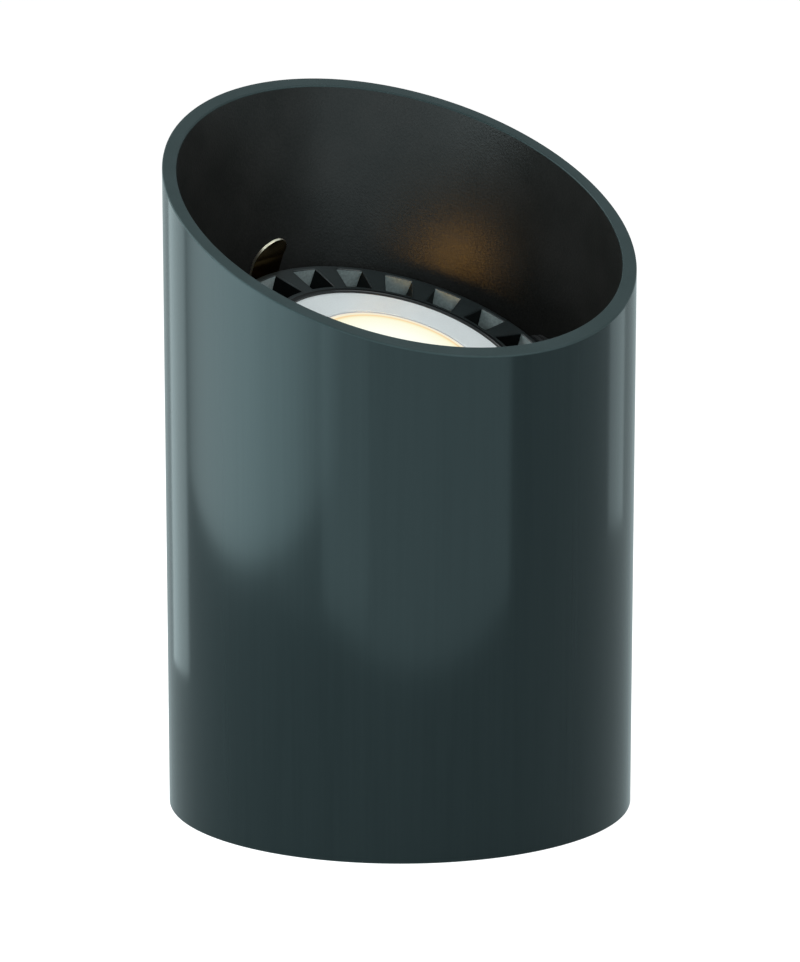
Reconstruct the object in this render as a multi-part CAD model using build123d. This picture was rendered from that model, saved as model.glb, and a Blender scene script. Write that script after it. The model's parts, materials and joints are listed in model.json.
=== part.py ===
"""Above-ground well light: a slant-cut tube with a 111 mm reflector lamp aimed inside it.

Millimetres. The origin is the centre of the tube's foot, +Z is up, and the low side of the slanted
mouth faces -Y. The lamp and its holder are built in a frame of their own, with the centre of the
lamp's face at the origin, +Z out of the face and +Y up the slope, and are then set in the tube.
"""

from build123d import *
from math import cos, hypot, radians, sin, tan
import os

os.makedirs("parts", exist_ok=True)

# Lamp: a standard 111 mm reflector lamp sets the scale of everything round it.
flange_radius = 55.5
flange_depth = 9.0
flange_wall = 2.0
window_count = 20
window_angle = 9.6
window_length = 10.9
cup_wall = 1.5
trim_width = 1.5
trim_lip = 0.5
trim_proud = 0.3
trim_fit = 0.1
disc_visible_width = 11.2
disc_thickness = 2.2
disc_recess = 0.6
lens_thickness = 2.0
lens_flange_width = 2.1
lens_flange_thickness = 1.4
lens_gap = 0.2
gasket_thickness = 0.8
gasket_width = 2.8
lamp_depth = 46.0
rear_wall = 3.0
fin_reach = 4.0
fin_thickness = 2.2
fin_root = 1.0
fin_step = 5.0
cavity_taper = 4.0
web_depth = 20.0
web_thickness = 3.0
snap_groove_depth = 1.0
snap_groove_height = 3.2
snap_groove_centre = 5.2

# Light engine and driver inside the lamp.
pad_thickness = 0.6
board_radius = 21.0
board_thickness = 1.6
emitter_radius = 7.5
emitter_thickness = 1.2
reflector_wall = 1.2
reflector_throat = 9.0
board_screw_circle = 17.5
board_screw_radius = 1.25
board_screw_head_radius = 2.2
board_screw_head_height = 1.5
board_screw_grip = 2.0
board_screw_count = 3
board_screw_start = 30.0
driver_board_width = 34.0
driver_head_room = 3.0
driver_side_room = 3.7
component_gap = 2.0
driver_board_offset = 6.0
capacitor_radius = 4.0
capacitor_length = 11.0
inductor_radius = 5.0
inductor_length = 6.0
rectifier_width = 8.0
rectifier_height = 7.0
rectifier_thickness = 3.0

# Rear cap and the lamp's two screw terminals.
cap_lip = 3.0
cap_thickness = 3.0
cap_screw_radius = 1.0
cap_screw_head_radius = 1.9
cap_screw_head_height = 1.2
cap_screw_grip = 6.0
cap_screw_count = 3
cap_screw_start = 90.0
terminal_spacing = 20.0
terminal_radius = 3.0
terminal_stand_off = 3.0
terminal_inner_length = 1.5
terminal_screw_radius = 2.0
terminal_screw_grip = 5.0
terminal_screw_head_radius = 3.8
terminal_screw_head_height = 2.6
terminal_washer_radius = 4.5
terminal_washer_thickness = 0.8

# Holder ring under the lamp's flange, and its two ears.
ring_thickness = 1.5
ring_fin_gap = 0.5
ring_overhang = 1.5
ear_gap = 2.0
ear_width = 12.0
ear_corner = 4.0
pivot_depth = 5.0
pivot_cover = 4.5

# Spring clips at two opposite places on the holder ring.
clip_angle = 12.8
clip_width = 14.0
clip_thickness = 0.8
clip_stand_off = 2.6
clip_fold_height = 4.0
clip_tab_straight = 0.5
clip_tab_lean = 12.0
clip_root_length = 8.3
clip_bend_gap = 0.3
bead_width = 6.0
bead_tip = 0.8
bead_root = 4.4
bead_clearance = 0.3
rivet_radius = 1.5
rivet_head_radius = 2.8
rivet_head_height = 1.2
rivet_spacing = 7.0
rivet_inset = 4.5

# Pivots between the holder and the yoke.
pivot_screw_radius = 2.0
pivot_fit = 0.08
pivot_head_radius = 3.8
pivot_head_height = 2.2
pivot_washer_thickness = 0.5
pivot_washer_radius = 4.4
spacer_thickness = 0.8
spacer_radius = 5.5
clinch_radius = 3.6
clinch_thickness = 1.2
clinch_screw_end = 0.2

# Yoke.
yoke_thickness = 1.6
yoke_width = 12.0
yoke_bend = 5.0
yoke_top_cover = 4.4
yoke_top_corner = 3.8
side_play = 0.1

# Tube.
swing_clearance = 4.3
tube_wall = 4.4
tube_axis_height = 187.3
cut_slope = 25.48
rim_break = 0.5
cable_radius = 4.0
notch_clearance = 3.0
notch_height = 11.0

# Aim of the lamp as photographed.
lamp_face_height = 141.2
lamp_tilt = 24.5
lamp_swing = 12.3

# Base insert.
insert_recess = 22.0
insert_depth = 20.0
insert_wall = 3.0
floor_thickness = 4.0
boss_radius = 12.0
boss_height = 12.0
boss_pocket_radius = 7.0
rib_count = 6
rib_thickness = 2.5
rib_height = 8.0
drain_circle = 56.0
drain_length = 18.0
drain_width = 5.0

# Swivel joint in the middle of the floor.
swivel_bolt_radius = 3.0
swivel_fit = 0.08
swivel_head_flats = 10.0
swivel_head_height = 4.0
swivel_nut_height = 5.0
swivel_bolt_proud = 1.5
friction_washer_thickness = 1.0
friction_washer_radius = 9.0
spring_washer_thickness = 1.0
spring_washer_radius = 6.5

# Cable gland in the floor.
gland_offset = 36.0
gland_thread_radius = 7.6
gland_flats = 20.0
gland_hex_height = 5.0
gland_tail = 10.0
gland_locknut_height = 4.0
gland_thread_proud = 1.0
gland_nut_length = 13.0
gland_nut_wall = 2.0
gland_nut_lip = 2.0
gland_seal_length = 7.0
gland_seal_radius = 5.8

bottom = (Align.CENTER, Align.CENTER, Align.MIN)
top = (Align.CENTER, Align.CENTER, Align.MAX)

# Widths that stack up outwards from the lamp to the tube.
ear_inner = flange_radius + ear_gap
ear_outer = ear_inner + ring_thickness
spacer_outer = ear_outer + spacer_thickness
arm_inner = spacer_outer + side_play
arm_outer = arm_inner + yoke_thickness
pivot_washer_inner = arm_outer + side_play
pivot_head_inner = pivot_washer_inner + pivot_washer_thickness
pivot_head_outer = pivot_head_inner + pivot_head_height
tube_inner_radius = pivot_head_outer + swing_clearance
tube_outer_radius = tube_inner_radius + tube_wall

# Radii and depths inside the lamp.
window_outer_radius = flange_radius - flange_wall
cup_radius = window_outer_radius - window_length
trim_outer_radius = cup_radius - cup_wall
disc_visible_radius = trim_outer_radius - trim_width
lens_opening_radius = disc_visible_radius - disc_visible_width + lens_gap
lens_radius = lens_opening_radius - lens_gap
disc_radius = disc_visible_radius + trim_lip - trim_fit
ledge_depth = disc_recess + disc_thickness + gasket_thickness
ledge_radius = trim_outer_radius - gasket_width
disc_bottom = -disc_recess - disc_thickness
web_bottom = -web_depth - web_thickness
board_bottom = -web_depth + pad_thickness
board_top = board_bottom + board_thickness
driver_board_corner = hypot(driver_board_width / 2, driver_board_offset + board_thickness / 2)
driver_cavity_radius = driver_board_corner + driver_side_room
cap_radius = driver_cavity_radius + cap_lip
rear_radius = cap_radius + rear_wall
cap_screw_circle = driver_cavity_radius + cap_lip / 2
cap_inner = -lamp_depth + cap_thickness
driver_board_height = web_bottom - cap_inner - driver_head_room

# Radii of the holder.
fin_shoulder_radius = cup_radius + fin_step
ring_inner_radius = fin_shoulder_radius + ring_fin_gap
ring_outer_radius = flange_radius + ring_overhang
ring_bottom = -flange_depth - ring_thickness
clip_inner = flange_radius + clip_stand_off
clip_bend_height = ring_bottom - clip_thickness / 2

# Heights of the swivel, from the floor up.
floor_top = insert_recess + insert_depth
floor_bottom = floor_top - floor_thickness
boss_top = floor_top + boss_height
yoke_bottom = boss_top + friction_washer_thickness + side_play
yoke_top = yoke_bottom + yoke_thickness
spring_washer_bottom = yoke_top + side_play
swivel_nut_bottom = spring_washer_bottom + spring_washer_thickness
swivel_bolt_top = swivel_nut_bottom + swivel_nut_height + swivel_bolt_proud

# The pivots lie behind the face, so their place follows from the aim.
pivot_height = lamp_face_height - pivot_depth * cos(radians(lamp_tilt))
pivot_set_back = pivot_depth * sin(radians(lamp_tilt))

yoke_frame = Rot(Z=lamp_swing)
lamp_frame = Pos(0, 0, lamp_face_height) * Rot(Z=lamp_swing) * Rot(X=lamp_tilt)
clip_frames = [lamp_frame * Rot(Z=clip_angle + turn) for turn in (0, 180)]


def save(name, *solids):
    """Write one piece, or one set of like pieces, to a file of its own."""
    export_step(solids[0] if len(solids) == 1 else Compound(children=list(solids)), f"parts/{name}.step")


def disc(radius, low, high, bore=0.0):
    """A round plate or ring from one height to another."""
    plate = Pos(0, 0, low) * Cylinder(radius, high - low, align=bottom)
    if bore:
        plate -= Pos(0, 0, low) * Cylinder(bore, high - low, align=bottom)
    return plate


def hexagon(flats, low, high):
    """A six-sided head or nut from one height to another."""
    outline = RegularPolygon(flats / 2, 6, major_radius=False)
    return Pos(0, 0, low) * extrude(outline, high - low)


def turned(*points):
    """A body of revolution about Z from its outline in radius and height."""
    outline = make_face(Plane.XZ * Polyline(*points, close=True))
    return revolve(outline, Axis.Z)


def around(count, radius, start=0.0):
    """Places spaced evenly round a circle."""
    return [Rot(Z=start + 360 * i / count) * Pos(radius, 0, 0) for i in range(count)]


def across(inner, outer, radius, bore=0.0):
    """A pair of round pieces that lie along X, one at each side."""
    piece = disc(radius, inner, outer, bore)
    return [Rot(Y=90) * piece, Rot(Y=-90) * piece]


def housing_tube():
    tube = disc(tube_outer_radius, 0, 2 * tube_axis_height, tube_inner_radius)
    slope = radians(cut_slope)
    mouth = Plane(origin=(0, 0, tube_axis_height), z_dir=(0, -sin(slope), cos(slope)))
    tube = split(tube, bisect_by=mouth, keep=Keep.BOTTOM)
    tube = fillet(tube.edges().filter_by(GeomType.ELLIPSE), rim_break)
    notch_radius = cable_radius + notch_clearance
    arch = Rot(X=90) * Cylinder(notch_radius, 3 * tube_wall)
    legs = Box(2 * notch_radius, 3 * tube_wall, notch_height - notch_radius, align=top)
    notch = Pos(0, tube_outer_radius - tube_wall / 2, notch_height - notch_radius) * (arch + legs)
    save("housing_tube", tube - notch)


def base_insert():
    floor_drop = insert_depth - floor_thickness
    insert = disc(tube_inner_radius, insert_recess, floor_top)
    insert -= disc(tube_inner_radius - insert_wall, insert_recess, insert_recess + floor_drop)
    insert += disc(boss_radius, floor_bottom - rib_height, boss_top)
    rib_length = tube_inner_radius - insert_wall / 2
    for i in range(rib_count):
        rib = Box(rib_length, rib_thickness, rib_height, align=(Align.MIN, Align.CENTER, Align.MAX))
        insert += Rot(Z=360 * i / rib_count) * Pos(0, 0, floor_bottom) * rib
    insert -= disc(boss_pocket_radius, floor_bottom - rib_height, floor_bottom)
    insert -= disc(swivel_bolt_radius, floor_bottom, boss_top)
    insert -= Pos(0, gland_offset, 0) * disc(gland_thread_radius, floor_bottom, floor_top)
    drain = Pos(0, 0, floor_bottom) * extrude(SlotOverall(drain_length, drain_width), floor_thickness)
    for place in around(rib_count, drain_circle, 180 / rib_count):
        insert -= place * Rot(Z=90) * drain
    save("base_insert", insert)


def cable_gland():
    place = Pos(0, gland_offset, 0)
    hex_bottom = floor_bottom - gland_hex_height
    tail_end = hex_bottom - gland_tail
    thread_end = floor_top + gland_locknut_height + gland_thread_proud
    seal_top = tail_end + gland_seal_length
    body = hexagon(gland_flats, hex_bottom, floor_bottom)
    body += disc(gland_thread_radius, tail_end, thread_end)
    body -= disc(cable_radius, tail_end, thread_end)
    body -= disc(gland_seal_radius, tail_end, seal_top)
    save("gland_body", place * body)

    save("gland_seal", place * disc(gland_seal_radius, tail_end, seal_top, cable_radius))

    locknut = hexagon(gland_flats, floor_top, floor_top + gland_locknut_height)
    locknut -= disc(gland_thread_radius, floor_top, floor_top + gland_locknut_height)
    save("gland_locknut", place * locknut)

    nut_bottom = tail_end - gland_nut_lip
    nut_top = nut_bottom + min(gland_nut_length, gland_tail + gland_nut_lip)
    nut = disc(gland_thread_radius + gland_nut_wall, nut_bottom, nut_top)
    nut = chamfer(nut.faces().sort_by(Axis.Z)[0].edges(), gland_nut_wall)
    nut -= disc(gland_thread_radius, tail_end, nut_top)
    nut -= disc(cable_radius, nut_bottom, tail_end)
    save("gland_nut", place * nut)


def swivel_joint():
    bolt = disc(swivel_bolt_radius, floor_bottom, swivel_bolt_top)
    bolt += hexagon(swivel_head_flats, floor_bottom - swivel_head_height, floor_bottom)
    save("swivel_bolt", bolt)
    washer_top = boss_top + friction_washer_thickness
    save("swivel_friction_washer", disc(friction_washer_radius, boss_top, washer_top, swivel_bolt_radius))
    spring = disc(spring_washer_radius, spring_washer_bottom, swivel_nut_bottom, swivel_bolt_radius)
    save("swivel_spring_washer", spring)
    nut = hexagon(swivel_head_flats, swivel_nut_bottom, swivel_nut_bottom + swivel_nut_height)
    save("swivel_lock_nut", nut - disc(swivel_bolt_radius, swivel_nut_bottom, swivel_bolt_top))


def yoke():
    arm_top = pivot_height + yoke_top_cover
    outside = Box(2 * arm_outer, yoke_width, arm_top - yoke_bottom, align=bottom)
    inside = Box(2 * arm_inner, yoke_width, arm_top - yoke_top, align=bottom)
    outside = fillet(outside.edges().filter_by(Axis.Y).group_by(Axis.Z)[0], yoke_bend + yoke_thickness)
    inside = fillet(inside.edges().filter_by(Axis.Y).group_by(Axis.Z)[0], yoke_bend)
    strap = Pos(0, 0, yoke_bottom) * outside - Pos(0, 0, yoke_top) * inside
    strap = fillet(strap.edges().filter_by(Axis.X).group_by(Axis.Z)[-1], yoke_top_corner)
    strap -= disc(swivel_bolt_radius + swivel_fit, yoke_bottom, yoke_top)
    hole = Rot(Y=90) * Cylinder(pivot_screw_radius + pivot_fit, 2 * arm_outer)
    strap -= Pos(0, pivot_set_back, pivot_height) * hole
    save("yoke_strap", yoke_frame * strap)


def holder_ring():
    ring = disc(ring_outer_radius, ring_bottom, -flange_depth, ring_inner_radius)
    ear_height = pivot_cover - pivot_depth - ring_bottom
    web_length = ear_outer - ring_outer_radius + ring_overhang
    for side in (0, 180):
        ear = Box(ring_thickness, ear_width, ear_height, align=(Align.MAX, Align.CENTER, Align.MIN))
        ear = fillet(ear.edges().filter_by(Axis.X).group_by(Axis.Z)[-1], ear_corner)
        web = Box(web_length, ear_width, ring_thickness, align=(Align.MAX, Align.CENTER, Align.MIN))
        ring += Rot(Z=side) * Pos(ear_outer, 0, ring_bottom) * (ear + web)
    ring -= Pos(0, 0, -pivot_depth) * Rot(Y=90) * Cylinder(pivot_screw_radius, 2 * ear_outer)
    for turn in (0, 180):
        for side in (-1, 1):
            place = Rot(Z=clip_angle + turn) * Pos(side * rivet_spacing / 2, ring_outer_radius - rivet_inset)
            ring -= place * disc(rivet_radius, ring_bottom, -flange_depth)
    save("holder_ring", lamp_frame * ring)


def pivots():
    place = lamp_frame * Pos(0, 0, -pivot_depth)
    screw_end = ear_inner - clinch_thickness + clinch_screw_end
    shanks = across(screw_end, pivot_head_inner, pivot_screw_radius)
    heads = across(pivot_head_inner, pivot_head_outer, pivot_head_radius)
    save("pivot_screws", *[place * (shank + head) for shank, head in zip(shanks, heads)])
    washers = across(pivot_washer_inner, pivot_head_inner, pivot_washer_radius, pivot_screw_radius)
    save("pivot_washers", *[place * washer for washer in washers])
    spacers = across(ear_outer, spacer_outer, spacer_radius, pivot_screw_radius)
    save("pivot_spacers", *[place * spacer for spacer in spacers])
    clinch_nuts = across(ear_inner - clinch_thickness, ear_inner, clinch_radius, pivot_screw_radius)
    save("pivot_clinch_nuts", *[place * nut for nut in clinch_nuts])


def clip_arm(name, frame):
    lean = radians(clip_tab_lean)
    straight_top = clip_fold_height + clip_tab_straight * cos(lean)
    tab_length = clip_tab_straight + clip_width / 2
    tip_in = tab_length * sin(lean)
    tip_top = clip_fold_height + tab_length * cos(lean)
    side = make_face(
        Plane.YZ
        * Polyline(
            (0, clip_bend_height),
            (0, clip_fold_height),
            (-tip_in, tip_top),
            (clip_thickness * cos(lean) - tip_in, tip_top + clip_thickness * sin(lean)),
            (clip_thickness, clip_fold_height + clip_thickness * tan(lean / 2)),
            (clip_thickness, clip_bend_height),
            close=True,
        )
    )
    front = Pos(0, straight_top) * Ellipse(clip_width / 2, tip_top - straight_top)
    front += Pos(0, straight_top) * Rectangle(
        clip_width, straight_top - clip_bend_height, align=(Align.CENTER, Align.MAX)
    )
    arm = extrude(side, clip_width / 2, both=True)
    arm &= extrude(Plane.XZ * front, tip_in + clip_thickness, both=True)
    arm = Pos(0, clip_inner, 0) * arm
    bead_reach = clip_inner - (flange_radius - snap_groove_depth + bead_clearance)
    bead = make_face(
        Plane.YZ
        * Polyline(
            (0, bead_root / 2),
            (-bead_reach, bead_tip / 2),
            (-bead_reach, -bead_tip / 2),
            (0, -bead_root / 2),
            close=True,
        )
    )
    bead = extrude(bead, bead_width / 2, both=True)
    arm += Pos(0, clip_inner, -snap_groove_centre - bead_clearance / 2) * bead
    save(name, frame * arm)


def clips():
    root_outer = clip_inner - clip_bend_gap
    root = Box(clip_width, clip_root_length, clip_thickness, align=(Align.CENTER, Align.MAX, Align.MAX))
    root = Pos(0, root_outer, ring_bottom) * root
    rivet_bottom = ring_bottom - clip_thickness
    rivet = disc(rivet_radius, rivet_bottom, -flange_depth)
    rivet += disc(rivet_head_radius, rivet_bottom - rivet_head_height, rivet_bottom)
    rivet_y = ring_outer_radius - rivet_inset
    rivets = [Pos(side * rivet_spacing / 2, rivet_y) * rivet for side in (-1, 1)]
    for hole in (-1, 1):
        root -= Pos(hole * rivet_spacing / 2, rivet_y) * disc(rivet_radius, rivet_bottom, ring_bottom)
    save("clip_roots", *[frame * root for frame in clip_frames])
    save("clip_rivets", *[frame * piece for frame in clip_frames for piece in rivets])
    clip_arm("clip_high_arm", clip_frames[0])
    clip_arm("clip_low_arm", clip_frames[1])


def lamp_housing():
    body = turned(
        (0, web_bottom),
        (driver_cavity_radius, web_bottom),
        (driver_cavity_radius, cap_inner),
        (cap_radius, cap_inner),
        (cap_radius, -lamp_depth),
        (rear_radius, -lamp_depth),
        (cup_radius, -flange_depth),
        (flange_radius, -flange_depth),
        (flange_radius, 0),
        (trim_outer_radius, 0),
        (trim_outer_radius, -ledge_depth),
        (ledge_radius, -ledge_depth),
        (ledge_radius - cavity_taper, -web_depth),
        (0, -web_depth),
    )
    window = turned(
        (cup_radius, -flange_depth),
        (window_outer_radius, -flange_depth),
        (window_outer_radius, 0),
        (cup_radius, 0),
    )
    half_width = flange_radius * sin(radians(window_angle / 2))
    wedge_outline = make_face(
        Polyline((0, 0), (flange_radius, half_width), (flange_radius, -half_width), close=True)
    )
    window &= Pos(0, 0, -flange_depth) * extrude(wedge_outline, flange_depth)
    fin_outline = make_face(
        Plane.XZ
        * Polyline(
            (rear_radius - fin_root, -lamp_depth),
            (rear_radius + fin_reach, -lamp_depth),
            (fin_shoulder_radius, -flange_depth - fin_reach),
            (fin_shoulder_radius, -flange_depth),
            (cup_radius - fin_root, -flange_depth),
            close=True,
        )
    )
    fin = extrude(fin_outline, fin_thickness / 2, both=True)
    pitch = 360 / window_count
    body += [Rot(Z=90 + pitch * (i + 0.5)) * fin for i in range(window_count)]
    body -= [Rot(Z=90 + pitch * i) * window for i in range(window_count)]
    groove_low = -snap_groove_centre - snap_groove_height / 2
    groove_high = groove_low + snap_groove_height
    body -= disc(flange_radius, groove_low, groove_high, flange_radius - snap_groove_depth)
    hole = disc(board_screw_radius, -web_depth - board_screw_grip, -web_depth)
    body -= [place * hole for place in around(board_screw_count, board_screw_circle, board_screw_start)]
    hole = disc(cap_screw_radius, cap_inner, cap_inner + cap_screw_grip)
    body -= [place * hole for place in around(cap_screw_count, cap_screw_circle, cap_screw_start)]
    save("lamp_housing", lamp_frame * body)


def lamp_face():
    trim = disc(trim_outer_radius, disc_bottom, trim_proud, disc_radius)
    trim += disc(trim_outer_radius, -disc_recess, trim_proud, disc_visible_radius)
    save("trim_ring", lamp_frame * trim)
    bezel = disc(disc_radius, disc_bottom, -disc_recess, lens_opening_radius)
    save("face_disc", lamp_frame * bezel)
    save("lens_gasket", lamp_frame * disc(trim_outer_radius, -ledge_depth, disc_bottom, ledge_radius))
    lens = disc(lens_radius, disc_bottom, disc_bottom + lens_thickness)
    lens += disc(lens_radius + lens_flange_width, disc_bottom - lens_flange_thickness, disc_bottom)
    save("lens", lamp_frame * lens)


def light_engine():
    lens_bottom = disc_bottom - lens_flange_thickness
    cup_top = lens_radius + lens_flange_width
    reflector = turned(
        (reflector_throat, board_top),
        (reflector_throat + reflector_wall, board_top),
        (cup_top, lens_bottom),
        (cup_top - reflector_wall, lens_bottom),
    )
    save("reflector", lamp_frame * reflector)
    places = around(board_screw_count, board_screw_circle, board_screw_start)
    board = disc(board_radius, board_bottom, board_top)
    pad = disc(board_radius, -web_depth, board_bottom)
    board -= [place * disc(board_screw_radius, board_bottom, board_top) for place in places]
    pad -= [place * disc(board_screw_radius, -web_depth, board_bottom) for place in places]
    save("led_board", lamp_frame * board)
    save("thermal_pad", lamp_frame * pad)
    save("led_emitter", lamp_frame * disc(emitter_radius, board_top, board_top + emitter_thickness))
    screw = disc(board_screw_radius, -web_depth - board_screw_grip, board_top)
    screw += disc(board_screw_head_radius, board_top, board_top + board_screw_head_height)
    save("board_screws", *[lamp_frame * place * screw for place in places])


def driver():
    board = Box(driver_board_width, board_thickness, driver_board_height, align=bottom)
    save("driver_board", lamp_frame * Pos(0, driver_board_offset, cap_inner) * board)
    face_y = driver_board_offset - board_thickness / 2
    face = Pos(0, face_y, cap_inner + driver_board_height / 2) * Rot(X=90)
    capacitor_x = -inductor_radius - component_gap - capacitor_radius
    rectifier_x = inductor_radius + component_gap + rectifier_width / 2
    capacitor = Pos(capacitor_x, 0) * Cylinder(capacitor_radius, capacitor_length, align=bottom)
    save("driver_capacitor", lamp_frame * face * capacitor)
    save("driver_inductor", lamp_frame * face * Cylinder(inductor_radius, inductor_length, align=bottom))
    rectifier = Box(rectifier_width, rectifier_height, rectifier_thickness, align=bottom)
    save("driver_rectifier", lamp_frame * face * Pos(rectifier_x, 0) * rectifier)


def rear_cap():
    places = [Pos(side * terminal_spacing / 2, 0) for side in (-1, 1)]
    screw_places = around(cap_screw_count, cap_screw_circle, cap_screw_start)
    cap = disc(cap_radius, -lamp_depth, cap_inner)
    cap -= [place * disc(terminal_radius, -lamp_depth, cap_inner) for place in places]
    cap -= [place * disc(cap_screw_radius, -lamp_depth, cap_inner) for place in screw_places]
    save("rear_cap", lamp_frame * cap)
    screw = disc(cap_screw_radius, -lamp_depth, cap_inner + cap_screw_grip)
    screw += disc(cap_screw_head_radius, -lamp_depth - cap_screw_head_height, -lamp_depth)
    save("rear_cap_screws", *[lamp_frame * place * screw for place in screw_places])

    post_end = -lamp_depth - terminal_stand_off
    washer_end = post_end - terminal_washer_thickness
    post = disc(terminal_radius, post_end, cap_inner + terminal_inner_length)
    post -= disc(terminal_screw_radius, post_end, post_end + terminal_screw_grip)
    save("terminal_posts", *[lamp_frame * place * post for place in places])
    washer = disc(terminal_washer_radius, washer_end, post_end, terminal_screw_radius)
    save("terminal_washers", *[lamp_frame * place * washer for place in places])
    screw = disc(terminal_screw_radius, washer_end, post_end + terminal_screw_grip)
    screw += disc(terminal_screw_head_radius, washer_end - terminal_screw_head_height, washer_end)
    save("terminal_screws", *[lamp_frame * place * screw for place in places])


housing_tube()
base_insert()
cable_gland()
swivel_joint()
yoke()
holder_ring()
pivots()
clips()
lamp_housing()
lamp_face()
light_engine()
driver()
rear_cap()
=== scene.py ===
"""Looks of an above-ground well light: a slant-cut charcoal tube with a lit reflector lamp in it.

Lengths are in metres, written in millimetres times MM. The tube stands on the floor round the Z axis,
and the low side of its mouth faces -Y.
"""

from math import atan2, cos, hypot, pi, radians, sin, tan
import json

import bmesh
import bpy
from mathutils import Matrix, Vector


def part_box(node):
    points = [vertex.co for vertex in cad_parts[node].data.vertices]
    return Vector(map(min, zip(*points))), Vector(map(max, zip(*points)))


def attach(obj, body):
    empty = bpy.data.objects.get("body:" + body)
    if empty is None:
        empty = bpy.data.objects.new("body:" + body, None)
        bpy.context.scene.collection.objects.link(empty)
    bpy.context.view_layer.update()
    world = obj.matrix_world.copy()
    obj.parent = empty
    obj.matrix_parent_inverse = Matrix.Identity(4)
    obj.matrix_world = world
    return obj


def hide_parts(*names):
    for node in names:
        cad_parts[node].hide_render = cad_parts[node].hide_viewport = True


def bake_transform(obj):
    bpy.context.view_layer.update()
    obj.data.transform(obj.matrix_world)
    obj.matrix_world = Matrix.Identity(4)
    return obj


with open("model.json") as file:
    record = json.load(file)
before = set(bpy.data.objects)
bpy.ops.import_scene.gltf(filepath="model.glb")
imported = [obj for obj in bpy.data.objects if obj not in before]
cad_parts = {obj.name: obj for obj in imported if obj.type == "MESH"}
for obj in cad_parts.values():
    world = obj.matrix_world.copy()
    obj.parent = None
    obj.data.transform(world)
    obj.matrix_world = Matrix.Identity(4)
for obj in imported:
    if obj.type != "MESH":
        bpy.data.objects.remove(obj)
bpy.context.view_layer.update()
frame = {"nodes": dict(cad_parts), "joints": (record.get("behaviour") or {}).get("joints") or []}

MM = 0.001

# Tube: its radius comes from the frame, the rest is as the solid was built.
tube_low, tube_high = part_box("housing_tube")
TUBE_RADIUS = tube_high.x
TUBE_WALL = 4.4 * MM
TUBE_INNER_RADIUS = TUBE_RADIUS - TUBE_WALL
CUT_SLOPE = radians(25.48)
CUT_HEIGHT = 187.3 * MM
RIM_BREAK = 0.5 * MM
FOOT_BREAK = 0.3 * MM
TUBE_SIDES = 360
NOTCH_RADIUS = 7.0 * MM
NOTCH_HEIGHT = 11.0 * MM
NOTCH_DROP = 1.0 * MM
WALL_FACE_AREA = 20 * MM * MM

# Lamp, in its own frame: the face's centre is the origin, Z comes out of the face, Y goes up the slope.
FACE_AHEAD_OF_PIVOT = 5.0 * MM
FLANGE_RADIUS = 55.5 * MM
FLANGE_DEPTH = 9.0 * MM
FLANGE_BREAK = 0.6 * MM
SKIRT_RADIUS = 53.5 * MM
CUP_RADIUS = 42.6 * MM
TRIM_RADIUS = 41.1 * MM
TRIM_PROUD = 0.3 * MM
TRIM_BREAK = 0.25 * MM
DISC_EDGE = 39.6 * MM
DISC_RADIUS = 40.0 * MM
DISC_RECESS = 0.6 * MM
DISC_FOOT = -2.8 * MM
DISC_BREAK = 0.35 * MM
LENS_OPENING = 28.6 * MM
LENS_RADIUS = 28.4 * MM
LENS_FLANGE = 1.4 * MM
LENS_FLANGE_REACH = 2.1 * MM
LENS_TOP = -0.9 * MM
LENS_CROWN = 0.4 * MM
LENS_CROWN_STEPS = (12, 28, 44, 58, 72, 84)
LENS_EDGE_DROP = 0.3 * MM
LENS_EDGE_BREAK = 0.2 * MM
LENS_SIDES = 180
LEDGE_DEPTH = 3.6 * MM
LEDGE_RADIUS = 38.3 * MM
CAVITY_RADIUS = 34.3 * MM
WEB_DEPTH = 20.0 * MM
WEB_THICKNESS = 3.0 * MM
LAMP_DEPTH = 46.0 * MM
REAR_RADIUS = 28.01 * MM
CAP_RADIUS = 25.01 * MM
CAP_INNER = -43.0 * MM
DRIVER_RADIUS = 22.01 * MM
FIN_THICKNESS = 2.2 * MM
FIN_REACH = 4.0 * MM
FIN_SHOULDER = 47.6 * MM
FIN_TOP = 13.0 * MM
FIN_BLANK = 10.0 * MM
FIN_ROOT_TOP = CUP_RADIUS - 2.0 * MM
FIN_ROOT_FOOT = REAR_RADIUS - 1.0 * MM
WINDOW_COUNT = 20
WINDOW_ANGLE = radians(9.6)
WINDOW_DRAFT = 1.2 * MM
WINDOW_BREAK = 0.3 * MM
WINDOW_FLARE = radians(1.1)
LAMP_SIDES = 300
GROOVE_CENTRE = 5.2 * MM
GROOVE_HEIGHT = 3.2 * MM
GROOVE_DEPTH = 1.0 * MM

# Spring clips.
CLIP_ANGLE = radians(12.8)
CLIP_WIDTH = 14.0 * MM
CLIP_THICKNESS = 0.8 * MM
CLIP_INNER = 58.1 * MM
CLIP_BEND = 1.2 * MM
CLIP_BEND_STEPS = (18, 36, 54, 72, 90)
CLIP_FOLD = 4.0 * MM
CLIP_FOLD_LENGTH = 0.6 * MM
CLIP_FOLD_SET = 0.08 * MM
CLIP_BREAK = 0.18 * MM
CLIP_TAB_STRAIGHT = 0.5 * MM
CLIP_TAB_LEAN = radians(12.0)
CLIP_TAB_STEPS = (10, 20, 30, 40, 50, 60, 69, 77, 84)
CLIP_ROOT_INNER = 49.5 * MM
BEAD_CENTRE = 5.35 * MM
BEAD_ROOT = 4.4 * MM
BEAD_WIDTH = 6.0 * MM
BEAD_REACH = 2.9 * MM
BEAD_EDGE = 0.35 * MM
RING_BOTTOM = -10.5 * MM

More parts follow.
